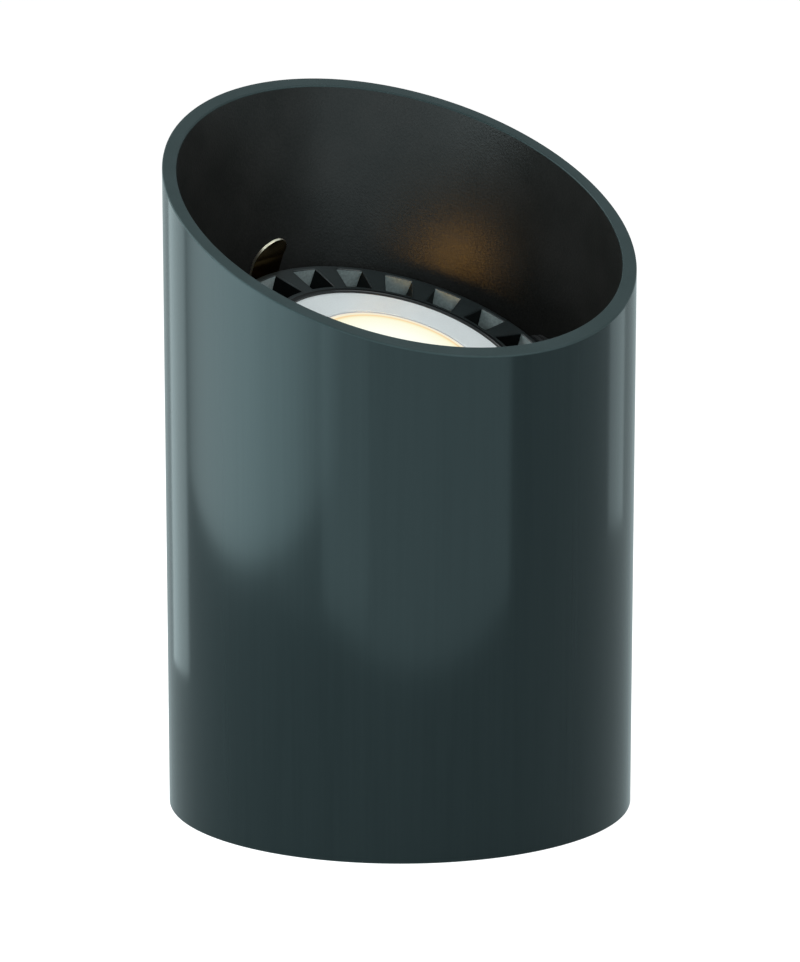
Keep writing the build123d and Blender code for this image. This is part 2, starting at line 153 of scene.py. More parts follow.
# The lamp's place, from the tilt joint: its axis, its pivot, and how far it can go back to level.
joints = {joint["name"]: joint for joint in frame["joints"]}
LAMP_SWING = atan2(joints["tilt"]["axis"][1], joints["tilt"]["axis"][0])
LAMP_TILT = -radians(joints["tilt"]["range_deg"][0])
lamp_turn = Matrix.Rotation(LAMP_SWING, 4, "Z") @ Matrix.Rotation(LAMP_TILT, 4, "X")
face_centre = Vector(joints["tilt"]["pos_m"]) + lamp_turn @ Vector((0, 0, FACE_AHEAD_OF_PIVOT))
lamp_place = Matrix.Translation(face_centre) @ lamp_turn


# Materials

def colour(code):
    """An sRGB hex code as a linear colour."""
    parts = [int(code[i:i + 2], 16) / 255 for i in (1, 3, 5)]
    return [p / 12.92 if p <= 0.04045 else ((p + 0.055) / 1.055) ** 2.4 for p in parts] + [1.0]


def add_node(tree, kind, settings, inputs):
    """Add a node with its settings, and its inputs as plain values or as sockets to link."""
    node = tree.nodes.new("ShaderNode" + kind)
    for name, value in settings.items():
        setattr(node, name, value)
    for name, value in inputs.items():
        if isinstance(value, bpy.types.NodeSocket):
            tree.links.new(value, node.inputs[name])
        else:
            node.inputs[name].default_value = value
    return node


def new_material(name):
    """An empty material, with its node tree and its output node."""
    material = bpy.data.materials.new(name)
    material.use_nodes = True
    tree = material.node_tree
    tree.nodes.clear()
    return material, tree, add_node(tree, "OutputMaterial", {}, {})


def ramp(tree, factor, *stops):
    """A colour ramp with stops of place and colour."""
    node = add_node(tree, "ValToRGB", {}, {"Fac": factor})
    elements = node.color_ramp.elements
    while len(elements) < len(stops):
        elements.new(1.0)
    for element, (place, code) in zip(elements, stops):
        element.position = place
        element.color = colour(code) if isinstance(code, str) else (code, code, code, 1.0)
    return node.outputs["Color"]


def place_in_lamp(tree):
    """Coordinates in the lamp's own frame, in metres."""
    where = add_node(tree, "TexCoord", {}, {}).outputs["Object"]
    moved = add_node(tree, "Mapping", {"vector_type": "TEXTURE"}, {
        "Vector": where, "Location": face_centre, "Rotation": lamp_turn.to_euler()})
    return moved.outputs["Vector"]


def plain_surface(name, dark, light, roughness, grain, bump, metallic=0.0, ior=1.5, stretch=(1, 1, 1),
                  level=0.5, tint="#FFFFFF", wave=0.0):
    """A surface whose colour and height vary over a grain of real size.

    The grain, the bump's height and the wave's height are in millimetres. A wave adds a slow unevenness.
    """
    material, tree, output = new_material(name)
    where = add_node(tree, "TexCoord", {}, {}).outputs["Object"]
    scaled = add_node(tree, "Mapping", {}, {"Vector": where, "Scale": stretch}).outputs["Vector"]
    fine = add_node(tree, "TexNoise", {}, {"Vector": scaled, "Scale": 1 / (grain * MM), "Detail": 3.0})
    broad = add_node(tree, "TexNoise", {}, {"Vector": scaled, "Scale": 1 / (25 * grain * MM), "Detail": 2.0})
    mixed = add_node(tree, "Mix", {"data_type": "FLOAT"}, {
        "Factor": 0.5, "A": fine.outputs["Fac"], "B": broad.outputs["Fac"]})
    shade = ramp(tree, mixed.outputs["Result"], (0.35, dark), (0.65, light))
    height = add_node(tree, "Bump", {}, {
        "Height": fine.outputs["Fac"], "Strength": 1.0, "Distance": bump * MM})
    if wave:
        slow = add_node(tree, "TexNoise", {}, {"Vector": where, "Scale": 1 / (60 * MM), "Detail": 1.0})
        height = add_node(tree, "Bump", {}, {
            "Height": slow.outputs["Fac"], "Strength": 1.0, "Distance": wave * MM,
            "Normal": height.outputs["Normal"]})
    shader = add_node(tree, "BsdfPrincipled", {}, {
        "Base Color": shade, "Roughness": roughness, "Metallic": metallic, "IOR": ior,
        "Specular IOR Level": level, "Specular Tint": colour(tint), "Normal": height.outputs["Normal"]})
    tree.links.new(shader.outputs["BSDF"], output.inputs["Surface"])
    return material


def lit_lens():
    """Opal diffuser with light behind it: near white, warmer in a narrow ring inside its edge.

    Its glow drowns what it scatters back, so its base colour is dark.
    """
    material, tree, output = new_material("opal_polycarbonate_lit")
    apart = add_node(tree, "SeparateXYZ", {}, {"Vector": place_in_lamp(tree)})
    flat = add_node(tree, "CombineXYZ", {}, {"X": apart.outputs["X"], "Y": apart.outputs["Y"]})
    reach = add_node(tree, "VectorMath", {"operation": "LENGTH"}, {0: flat.outputs["Vector"]})
    share = add_node(tree, "Math", {"operation": "DIVIDE"}, {0: reach.outputs["Value"], 1: LENS_RADIUS})
    glow = ramp(
        tree, share.outputs["Value"],
        (0.0, "#FCFCF8"), (0.6, "#FAFCF0"), (0.86, "#F8F6DA"), (0.90, "#F6EEC8"), (0.93, "#EFCB94"),
        (0.955, "#F6EED0"), (0.985, "#E8DECB"), (1.0, "#8F8791"))
    shader = add_node(tree, "BsdfPrincipled", {}, {
        "Base Color": colour("#3C3A36"), "Roughness": 0.3, "Emission Color": glow,
        "Emission Strength": 1.0})
    tree.links.new(shader.outputs["BSDF"], output.inputs["Surface"])
    return material


def make_materials():
    """Every finish of the light, by the name of what it is made of."""
    return {
        # Extruded rigid PVC: glossy skin, slightly wavy, with very faint lines along the tube.
        # Its carbon filler takes much of the shine, so its specular level is under the usual 0.5.
        "pvc_outside": plain_surface("extruded_pvc_outside", "#131A1B", "#171E1F", 0.13, 1.2, 0.0006,
                                     ior=1.53, stretch=(1, 1, 0.02), level=0.22, tint="#E6FCFF", wave=0.03),
        # Saw-cut and scraped PVC: satin, the plain colour of the wall right through.
        "pvc_cut": plain_surface("saw_cut_pvc", "#202929", "#273031", 0.45, 0.5, 0.01, level=0.2,
                                 tint="#D6FBFF"),
        # Inside of the tube: near black, with a pebbled grain that blurs what it mirrors. The real grain
        # is too fine to show, so it is drawn about twice as coarse.
        "pvc_inside": plain_surface("extruded_pvc_inside", "#141514", "#20201F", 0.3, 0.7, 0.05,
                                    ior=1.53, level=0.2),
        # Die-cast aluminium under satin black paint: soft, broad highlights and a fine skin.
        "lamp_paint": plain_surface("painted_die_casting", "#0F1415", "#182021", 0.38, 0.6, 0.02),
        # The same casting behind the windows, bare where the paint didn't reach: dull silver, and pale in
        # part as a painted light patch for the light that falls through the windows onto the skirt.
        "bare_casting_light_patch": plain_surface("die_casting_painted_light_patch", "#92A0A0", "#BAC8C8", 0.42, 0.8, 0.008,
                                      metallic=0.55),
        # Sides of the windows: the paint made nearly black and without shine, a painted shade for the shade
        # that falls in them.
        "window_painted_shade": plain_surface("window_side_painted_shade", "#020303", "#050606", 0.6, 0.6, 0.01,
                                      level=0.1),
        # Moulded polycarbonate: the trim deep black with sharp glints, the disc pale with a soft sheen.
        "trim_black": plain_surface("gloss_black_polycarbonate", "#07090A", "#0C0E0F", 0.2, 0.8, 0.002),
        "disc_grey": plain_surface("light_grey_polycarbonate", "#C9D0D1", "#D2D9DA", 0.35, 0.5, 0.003),
        "lens": lit_lens(),
        # Rolled strip, browned by its heat treatment, with faint rolling lines. Its sheared edges are near
        # white: bare metal, brightened as a painted highlight.
        "spring_bronze": plain_surface("rolled_spring_bronze", "#6B5530", "#8F7040", 0.22, 0.3, 0.002,
                                       metallic=1.0, stretch=(1, 1, 0.1)),
        "sheared_edge_highlight": plain_surface("sheared_bronze_edge_painted_highlight", "#F0DFC4", "#FFF3E0", 0.3, 0.2, 0.002,
                                      metallic=1.0),
        # Powder coat on sheet steel: dark and dull, with a slight orange peel.
        "holder_steel": plain_surface("powder_coated_steel", "#0D0F10", "#16191B", 0.5, 0.25, 0.02),
        # Turned and headed fasteners: plain grey steel, the same blackened, and yellow brass.
        "stainless": plain_surface("stainless_steel", "#8E9191", "#A9ACAC", 0.28, 0.2, 0.002, metallic=1.0),
        "black_screw": plain_surface("blackened_stainless", "#17191A", "#1F2122", 0.35, 0.2, 0.002,
                                     metallic=1.0),
        "brass": plain_surface("turned_brass", "#A88442", "#C39C52", 0.25, 0.2, 0.002, metallic=1.0),
        # Moulded ABS and nylon: matt from a finely sparked mould, the nylon a little smoother.
        "abs_black": plain_surface("moulded_abs", "#101213", "#17191A", 0.55, 0.4, 0.02),
        "nylon_black": plain_surface("moulded_black_nylon", "#0E0F10", "#141617", 0.45, 0.5, 0.01),
        "nylon_white": plain_surface("natural_nylon", "#CFCBC0", "#DAD6CC", 0.45, 0.5, 0.005),
        # Moulded silicone rubber: the dullest of the blacks.
        "silicone": plain_surface("moulded_silicone", "#161718", "#1C1E1F", 0.6, 0.5, 0.005),
        # Spun aluminium: bright, with clear mirror images.
        "reflector_metal": plain_surface("spun_aluminium", "#B9BCBD", "#D0D3D4", 0.2, 0.3, 0.002,
                                         metallic=1.0),
        # The lamp's inside: white solder mask, yellow phosphor, putty-like pad, green board, black parts.
        "board_white": plain_surface("white_solder_mask", "#DCDDD8", "#E6E7E2", 0.35, 0.6, 0.002),
        "emitter": plain_surface("phosphor_silicone", "#D9A62B", "#E6B640", 0.4, 0.3, 0.002),
        "pad_grey": plain_surface("thermal_pad_silicone", "#73767A", "#7E8185", 0.7, 0.3, 0.005),
        "board_green": plain_surface("glass_epoxy_board", "#123D22", "#19502C", 0.35, 0.5, 0.003),
        "component": plain_surface("moulded_epoxy_component", "#141517", "#1B1C1E", 0.4, 0.3, 0.003),
    }


# Modelling tools

def start_piece(name, add, **sizes):
    """Add one primitive as a piece of its own, in place, and go into edit mode on it."""
    bpy.ops.object.select_all(action="DESELECT")
    add(**sizes)
    piece = bpy.context.object
    piece.name = name
    bpy.ops.object.transform_apply(location=True, rotation=True, scale=True)
    bpy.ops.object.mode_set(mode="EDIT")
    return piece


def select(piece, kind, test):
    """Select the vertices, edges or faces of the piece whose middle passes a test."""
    bpy.ops.mesh.select_mode(type=kind)
    bpy.ops.mesh.select_all(action="DESELECT")
    work = bmesh.from_edit_mesh(piece.data)
    for item in {"VERT": work.verts, "EDGE": work.edges, "FACE": work.faces}[kind]:
        if kind == "VERT":
            chosen = test(item.co)
        elif kind == "EDGE":
            chosen = test((item.verts[0].co + item.verts[1].co) / 2)
        else:
            chosen = test(item.calc_center_median())
        if chosen:
            item.select_set(True)
    bmesh.update_edit_mesh(piece.data)


def close_to(value, wanted, slack=0.02 * MM):
    """Whether a value is the wanted one but for a little slack."""
    return abs(value - wanted) < slack


def reach_of(point):
    """Distance from the Z axis."""
    return hypot(point.x, point.y)


def at_radius(point, radius):
    """Whether a point lies at a radius, or in the middle of a short edge that does."""
    return close_to(reach_of(point), radius, 0.05 * MM)


def pull_ring(piece, *stops):
    """Extrude the selected ring of edges to each radius and height in turn."""
    for radius, height in stops:
        ring = [v.co.copy() for v in bmesh.from_edit_mesh(piece.data).verts if v.select]
        bpy.ops.mesh.extrude_region_move(TRANSFORM_OT_translate={"value": (0, 0, height - ring[0].z)})
        grow = radius / reach_of(ring[0])
        bpy.ops.transform.resize(value=(grow, grow, 1), center_override=(0, 0, 0))


def turned_piece(name, sides, outline, closed=True):
    """A round piece pulled out ring by ring along its outline of radius and height."""
    first_radius, first_height = outline[0]
    piece = start_piece(
        name, bpy.ops.mesh.primitive_circle_add, vertices=sides, radius=first_radius,
        location=(0, 0, first_height))
    bpy.ops.mesh.select_mode(type="EDGE")
    bpy.ops.mesh.select_all(action="SELECT")
    pull_ring(piece, *outline[1:])
    if closed:
        pull_ring(piece, outline[0])
        bpy.ops.mesh.select_all(action="SELECT")
        bpy.ops.mesh.remove_doubles(threshold=0.001 * MM)
    else:
        for radius, height in (outline[0], outline[-1]):
            select(piece, "EDGE", lambda p: close_to(p.z, height) and close_to(reach_of(p), radius))
            bpy.ops.mesh.edge_face_add()
    bpy.ops.mesh.select_all(action="SELECT")
    bpy.ops.mesh.normals_make_consistent(inside=False)
    return piece


def round_edges(piece, width, segments, test):
    """Round the edges whose middle passes a test."""
    select(piece, "EDGE", test)
    bpy.ops.mesh.bevel(offset=width, segments=segments, affect="EDGES", clamp_overlap=True)


def copies_around(count):
    """Repeat what is in the mesh round the Z axis."""
    bpy.ops.mesh.select_all(action="SELECT")
    turn = 2 * pi * (count - 1) / count
    bpy.ops.mesh.spin(steps=count - 1, dupli=True, angle=turn, center=(0, 0, 0), axis=(0, 0, 1))


def finish_piece(piece, place=None, angle=35.0):
    """Leave edit mode, set the piece in place and smooth it."""
    bpy.ops.object.mode_set(mode="OBJECT")
    bpy.ops.object.select_all(action="DESELECT")
    piece.select_set(True)
    bpy.context.view_layer.objects.active = piece
    if place is not None:
        piece.matrix_world = place
        bpy.ops.object.transform_apply(location=True, rotation=True, scale=True)
    bpy.ops.object.shade_smooth_by_angle(angle=radians(angle))
    weighting = piece.modifiers.new("weighted_normals", "WEIGHTED_NORMAL")
    weighting.keep_sharp = True
    bpy.ops.object.modifier_apply(modifier=weighting.name)
    return piece


def give_material(piece, *names):
    """Give the piece these finishes, in the order of its material slots."""
    piece.data.materials.clear()
    for name in names:
        piece.data.materials.append(materials[name])


def stand_for(piece, body, node, slot, *finishes):
    """The piece rides on a body, stands for a node of the frame and takes its finish."""
    if finishes:
        give_material(piece, *finishes)
    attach(piece, body)
    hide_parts(node)


# The tube

def rim_offset(point):
    """How far a point lies above the slanted plane of the mouth, along Z."""
    return point.z - CUT_HEIGHT - point.y * tan(CUT_SLOPE)


def housing_tube_shell():
    """A straight tube whose top is stretched and tilted to the slanted mouth, with a cable notch."""
    shell = turned_piece("housing_tube_shell", TUBE_SIDES, (
        (TUBE_RADIUS, 0), (TUBE_RADIUS, CUT_HEIGHT), (TUBE_INNER_RADIUS, CUT_HEIGHT),
        (TUBE_INNER_RADIUS, 0)))
    select(shell, "VERT", lambda p: close_to(p.z, CUT_HEIGHT))
    bpy.ops.transform.resize(value=(1, 1 / cos(CUT_SLOPE), 1), center_override=(0, 0, CUT_HEIGHT))
    bpy.ops.transform.rotate(
        value=-CUT_SLOPE, orient_axis="X", center_override=(0, 0, CUT_HEIGHT))
    middle_radius = (TUBE_RADIUS + TUBE_INNER_RADIUS) / 2

    def on_skin(point):
        return abs(reach_of(point) - middle_radius) > 0.4 * TUBE_WALL

    round_edges(shell, RIM_BREAK, 3, lambda p: close_to(rim_offset(p), 0) and on_skin(p))
    round_edges(shell, FOOT_BREAK, 2, lambda p: close_to(p.z, 0) and on_skin(p))
    bpy.ops.object.mode_set(mode="OBJECT")
    cut_cable_notch(shell)
    finish_piece(shell, angle=40.0)
    stand_for(shell, "housing", "housing_tube", "tube_pvc", "pvc_outside", "pvc_cut", "pvc_inside")
    for face in shell.data.polygons:
        wall = abs(face.normal.z) < 0.05 and face.area > WALL_FACE_AREA
        outside = reach_of(face.center) > middle_radius
        face.material_index = (0 if outside else 2) if wall else 1


def cut_cable_notch(shell):
    """Take an arched notch for the supply cable out of the back of the foot."""
    arch = start_piece(
        "notch_cutter", bpy.ops.mesh.primitive_cube_add, size=1.0,
        location=(0, TUBE_RADIUS - TUBE_WALL / 2, (NOTCH_HEIGHT - NOTCH_DROP) / 2),
        scale=(2 * NOTCH_RADIUS, 3 * TUBE_WALL, NOTCH_HEIGHT + NOTCH_DROP))
    round_edges(arch, 0.999 * NOTCH_RADIUS, 14, lambda p: close_to(p.z, NOTCH_HEIGHT)
                and abs(p.x) > 0.9 * NOTCH_RADIUS)
    bpy.ops.object.mode_set(mode="OBJECT")
    bpy.ops.object.select_all(action="DESELECT")
    shell.select_set(True)
    bpy.context.view_layer.objects.active = shell
    cutting = shell.modifiers.new("cable_notch", "BOOLEAN")
    cutting.operation = "DIFFERENCE"
    cutting.solver = "EXACT"
    cutting.object = arch
    bpy.ops.object.modifier_apply(modifier=cutting.name)
    bpy.data.objects.remove(arch)


# The lamp

def window_offset(point):
    """Angle round the lamp from the middle of the nearest window to a point."""
    pitch = 2 * pi / WINDOW_COUNT
    return (atan2(point.x, point.y) + pitch / 2) % pitch - pitch / 2


def within_window(point, slack=radians(0.1)):
    """Whether a point of the lamp lies inside the angle of one of its windows, or on its sides."""
    return abs(window_offset(point)) < WINDOW_ANGLE / 2 + slack


def on_ring(point, inner, outer, height):
    """Whether a point lies on the flat ring between two radii at a height."""
    return close_to(point.z, height) and inner - 0.1 * MM < reach_of(point) < outer + 0.1 * MM


def lamp_casting():
    """The lamp's cast body: a flange with through windows, and a cup with a cavity in front and behind."""
    groove_top = -GROOVE_CENTRE + GROOVE_HEIGHT / 2
    groove_foot = groove_top - GROOVE_HEIGHT
    casting = turned_piece("lamp_casting", LAMP_SIDES, (
        (CAVITY_RADIUS, -WEB_DEPTH), (LEDGE_RADIUS, -LEDGE_DEPTH), (TRIM_RADIUS, -LEDGE_DEPTH),
        (TRIM_RADIUS, 0), (CUP_RADIUS, 0), (SKIRT_RADIUS, 0), (FLANGE_RADIUS, 0),
        (FLANGE_RADIUS, groove_top), (FLANGE_RADIUS - GROOVE_DEPTH, groove_top),
        (FLANGE_RADIUS - GROOVE_DEPTH, groove_foot), (FLANGE_RADIUS, groove_foot),
        (FLANGE_RADIUS, -FLANGE_DEPTH), (SKIRT_RADIUS, -FLANGE_DEPTH), (CUP_RADIUS, -FLANGE_DEPTH),
        (REAR_RADIUS, -LAMP_DEPTH), (CAP_RADIUS, -LAMP_DEPTH), (CAP_RADIUS, CAP_INNER),
        (DRIVER_RADIUS, CAP_INNER), (DRIVER_RADIUS, -WEB_DEPTH - WEB_THICKNESS)), closed=False)
    select(casting, "FACE", lambda p: within_window(p) and on_ring(p, CUP_RADIUS, SKIRT_RADIUS, 0))
    bpy.ops.mesh.delete(type="FACE")
    select(casting, "FACE", lambda p: within_window(p)
           and on_ring(p, CUP_RADIUS, SKIRT_RADIUS, -FLANGE_DEPTH))
    bpy.ops.mesh.inset(thickness=WINDOW_DRAFT, depth=0)
    bpy.ops.mesh.delete(type="FACE")
    pitch = 2 * pi / WINDOW_COUNT
    for window in range(WINDOW_COUNT):
        middle = window * pitch
        select_open_edges(casting, lambda p: cos(atan2(p.x, p.y) - middle) > cos(pitch / 2))
        bpy.ops.mesh.bridge_edge_loops()
    bpy.ops.mesh.select_all(action="SELECT")
    bpy.ops.mesh.normals_make_consistent(inside=False)
    round_edges(casting, WINDOW_BREAK, 2, lambda p: within_window(p) and close_to(p.z, 0)
                and (at_radius(p, CUP_RADIUS) or at_radius(p, SKIRT_RADIUS) or window_side(p)))
    round_edges(casting, FLANGE_BREAK, 3, lambda p: at_radius(p, FLANGE_RADIUS)
                and (close_to(p.z, 0) or close_to(p.z, -FLANGE_DEPTH)))
    for side in (1, -1):
        select(casting, "VERT", lambda p: close_to(side * window_offset(p), WINDOW_ANGLE / 2, radians(0.6))
               and close_to(reach_of(p), CUP_RADIUS, 0.6 * MM) and p.z > -FLANGE_DEPTH / 2)
        bpy.ops.transform.rotate(value=side * WINDOW_FLARE, orient_axis="Z", center_override=(0, 0, 0))
    finish_piece(casting, lamp_place, angle=40.0)
    # The second finish is the pale silver painted light patch behind the windows, the third the painted
    # shade of their sides.
    stand_for(casting, "lamp_holder", "lamp_housing", "lamp_casting", "lamp_paint", "bare_casting_light_patch",
              "window_painted_shade")
    mark_windows(casting)


def window_side(point):
    """Whether a point lies on the straight side of a window."""
    return (close_to(abs(window_offset(point)), WINDOW_ANGLE / 2, radians(0.1))
            and reach_of(point) < SKIRT_RADIUS)


def select_open_edges(piece, test):
    """Select the edges with a face on one side only, whose middle passes a test."""
    bpy.ops.mesh.select_mode(type="EDGE")
    bpy.ops.mesh.select_all(action="DESELECT")
    work = bmesh.from_edit_mesh(piece.data)
    for edge in work.edges:
        if edge.is_boundary and test((edge.verts[0].co + edge.verts[1].co) / 2):
            edge.select_set(True)
    bmesh.update_edit_mesh(piece.data)


def mark_windows(casting):
    """Behind each window the skirt's inner face is pale bare metal, a painted light patch, and the window's
    sides get near-black paint, a painted shade.
    """
    back = lamp_place.inverted()
    turn = back.to_3x3()
    for face in casting.data.polygons:
        centre = back @ face.center
        normal = turn @ face.normal
        reach = reach_of(centre)
        inside = (within_window(centre, 1.5 * WINDOW_FLARE)
                  and CUP_RADIUS - WINDOW_BREAK < reach < SKIRT_RADIUS + WINDOW_BREAK
                  and -FLANGE_DEPTH - 0.1 * MM < centre.z < -WINDOW_BREAK)
        inward = centre.x * normal.x + centre.y * normal.y < -0.9 * reach
        # Index 1 gives the painted light patch, index 2 the painted shade of the window's sides.
        face.material_index = (1 if inward else 2) if inside else 0


def lamp_fins():
    """One cooling fin, repeated behind the spokes between the windows."""
    middle = (REAR_RADIUS + CUP_RADIUS) / 2
    fin = start_piece(
        "lamp_fins", bpy.ops.mesh.primitive_cube_add, size=1.0,
        location=(0, middle, -(LAMP_DEPTH + FIN_TOP) / 2),
        scale=(FIN_THICKNESS, FIN_BLANK, LAMP_DEPTH - FIN_TOP))
    for height, outer, place in (
            (-FIN_TOP, True, FIN_SHOULDER), (-FIN_TOP, False, FIN_ROOT_TOP),
            (-LAMP_DEPTH, True, REAR_RADIUS + FIN_REACH), (-LAMP_DEPTH, False, FIN_ROOT_FOOT)):
        select(fin, "VERT", lambda p: close_to(p.z, height) and abs(p.y - middle) < 0.51 * FIN_BLANK
               and (p.y > middle) == outer)
        now = middle + (0.5 if outer else -0.5) * FIN_BLANK
        bpy.ops.transform.translate(value=(0, place - now, 0))
    select(fin, "FACE", lambda p: close_to(p.z, -FIN_TOP))
    bpy.ops.mesh.extrude_region_move(TRANSFORM_OT_translate={"value": (0, 0, FIN_TOP - FLANGE_DEPTH)})
    bpy.ops.mesh.select_all(action="SELECT")
    bpy.ops.transform.rotate(value=pi / WINDOW_COUNT, orient_axis="Z", center_override=(0, 0, 0))
    copies_around(WINDOW_COUNT)
    finish_piece(fin, lamp_place)
    stand_for(fin, "lamp_holder", "lamp_housing", "lamp_casting", "lamp_paint")


def face_trim():
    """Thin gloss ring that holds the face disc."""
    trim = turned_piece("face_trim", LAMP_SIDES, (
        (TRIM_RADIUS, DISC_FOOT), (TRIM_RADIUS, TRIM_PROUD), (DISC_EDGE, TRIM_PROUD),
        (DISC_EDGE, -DISC_RECESS), (DISC_RADIUS, -DISC_RECESS), (DISC_RADIUS, DISC_FOOT)))
    round_edges(trim, TRIM_BREAK, 3, lambda p: close_to(p.z, TRIM_PROUD)
                and (at_radius(p, TRIM_RADIUS) or at_radius(p, DISC_EDGE)))
    finish_piece(trim, lamp_place)
    stand_for(trim, "lamp_holder", "trim_ring", "trim_black", "trim_black")


def face_bezel():
    """Flat pale disc with a soft edge round the lens; its small printed mark is left off."""
    bezel = turned_piece("face_bezel", LAMP_SIDES, (
        (DISC_RADIUS, DISC_FOOT), (DISC_RADIUS, -DISC_RECESS), (LENS_OPENING, -DISC_RECESS),
        (LENS_OPENING, DISC_FOOT)))
    round_edges(bezel, DISC_BREAK, 3, lambda p: close_to(p.z, -DISC_RECESS)
                and at_radius(p, LENS_OPENING))
    finish_piece(bezel, lamp_place)
    stand_for(bezel, "lamp_holder", "face_disc", "disc_grey", "disc_grey")


def lens_dome():
    """Opal diffuser with a slight crown, held by its flange behind the disc."""
    foot = DISC_FOOT - LENS_FLANGE
    crown = [(LENS_RADIUS * cos(radians(a)), LENS_TOP + LENS_CROWN * sin(radians(a)))
             for a in LENS_CROWN_STEPS]
    flange = LENS_RADIUS + LENS_FLANGE_REACH
    lens = turned_piece("lens_dome", LENS_SIDES, (
        (flange, foot), (flange, DISC_FOOT), (LENS_RADIUS, DISC_FOOT),
        (LENS_RADIUS, LENS_TOP - LENS_EDGE_DROP), (LENS_RADIUS - LENS_EDGE_BREAK, LENS_TOP),
        *crown), closed=False)
    finish_piece(lens, lamp_place, angle=50.0)
    stand_for(lens, "lamp_holder", "lens", "lens_opal", "lens")


# The spring clips

def spring_clip(name, turn, arm_node):
    """One bronze strip: riveted foot, bend, upright arm with a pressed bead, and a leaning round tab."""
    place = lamp_place @ Matrix.Rotation(turn, 4, "Z")
    middle = CLIP_INNER + CLIP_THICKNESS / 2
    foot_height = RING_BOTTOM - CLIP_THICKNESS / 2
    strip = start_piece(
        name, bpy.ops.mesh.primitive_grid_add, x_subdivisions=3, y_subdivisions=1, size=CLIP_WIDTH,
        location=(0, (CLIP_ROOT_INNER + middle - CLIP_BEND) / 2, foot_height))
    root_length = middle - CLIP_BEND - CLIP_ROOT_INNER
    bpy.ops.transform.resize(
        value=(1, root_length / CLIP_WIDTH, 1), center_override=(0, CLIP_ROOT_INNER + root_length / 2, 0))
    select(strip, "VERT", lambda p: abs(p.x) < 0.3 * CLIP_WIDTH)
    grow = BEAD_WIDTH / (CLIP_WIDTH / 3)
    bpy.ops.transform.resize(value=(grow, 1, 1), center_override=(0, 0, 0))
    select(strip, "EDGE", lambda p: close_to(p.y, middle - CLIP_BEND))
    path = [(middle - CLIP_BEND + CLIP_BEND * sin(radians(a)),
             foot_height + CLIP_BEND * (1 - cos(radians(a))))
            for a in CLIP_BEND_STEPS]
    path += [(middle, -BEAD_CENTRE - BEAD_ROOT / 2), (middle, -BEAD_CENTRE),
             (middle, -BEAD_CENTRE + BEAD_ROOT / 2), (middle, CLIP_FOLD - CLIP_FOLD_LENGTH),
             (middle - CLIP_FOLD_SET, CLIP_FOLD)]
    y, z = middle - CLIP_BEND, foot_height
    for stop_y, stop_z in path:
        bpy.ops.mesh.extrude_region_move(
            TRANSFORM_OT_translate={"value": (0, stop_y - y, stop_z - z)})
        y, z = stop_y, stop_z
    fold_y, fold_z, width = y, z, 1.0
    for along, now in [(CLIP_TAB_STRAIGHT, 1.0)] + [
            (CLIP_TAB_STRAIGHT + CLIP_WIDTH / 2 * sin(radians(a)), cos(radians(a)))
            for a in CLIP_TAB_STEPS]:
        stop_y, stop_z = fold_y - along * sin(CLIP_TAB_LEAN), fold_z + along * cos(CLIP_TAB_LEAN)
        bpy.ops.mesh.extrude_region_move(
            TRANSFORM_OT_translate={"value": (0, stop_y - y, stop_z - z)})
        bpy.ops.transform.resize(value=(now / width, 1, 1), center_override=(0, stop_y, stop_z))
        y, z, width = stop_y, stop_z, now
    select(strip, "FACE", lambda p: abs(p.x) < 0.4 * BEAD_WIDTH
           and abs(p.z + BEAD_CENTRE) < 0.6 * BEAD_ROOT and close_to(p.y, middle, 0.1 * MM))
    bpy.ops.mesh.inset(thickness=BEAD_EDGE, depth=0)
    select(strip, "VERT", lambda p: abs(p.x) < 0.48 * BEAD_WIDTH and close_to(p.z, -BEAD_CENTRE)
           and close_to(p.y, middle, 0.1 * MM))
    bpy.ops.transform.translate(value=(0, -BEAD_REACH, 0))
    bpy.ops.mesh.select_all(action="SELECT")
    bpy.ops.mesh.normals_make_consistent(inside=False)
    bpy.ops.object.mode_set(mode="OBJECT")
    give_material(strip, "spring_bronze", "sheared_edge_highlight")
    thickness = strip.modifiers.new("strip_thickness", "SOLIDIFY")
    thickness.thickness = CLIP_THICKNESS
    thickness.offset = 0.0
    thickness.use_even_offset = True
    # The strip's cut edges take the second finish, near white as a painted highlight.
    thickness.material_offset_rim = 1
    bpy.ops.object.modifier_apply(modifier=thickness.name)
    rounding = strip.modifiers.new("edge_rounding", "BEVEL")
    rounding.width = CLIP_BREAK
    rounding.segments = 3
    rounding.limit_method = "ANGLE"
    rounding.angle_limit = radians(50)
    bpy.ops.object.modifier_apply(modifier=rounding.name)
    finish_piece(strip, place, angle=50.0)
    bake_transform(strip)
    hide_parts(arm_node, "clip_roots")


# Camera, light and floor

VIEW_AZIMUTH = radians(-26.754)
VIEW_ELEVATION = radians(11.456)
VIEW_DISTANCE = 1168 * MM
VIEW_TARGET = Vector((0, 0, 94.9 * MM))
VIEW_TARGET_DROP_PX = 22.8
FOCAL_PX = 3735.6
PHOTO_LONG_SIDE_PX = 962
SENSOR_WIDTH = 36.0

# Two softboxes over the object: name, azimuth, elevation, distance, side and power.
HIGH_SOFTBOXES = (
    ("key_softbox", -118, 46, 1.2, 0.8, 11),
    ("fill_softbox", 30, 45, 1.5, 1.0, 11.5),
)
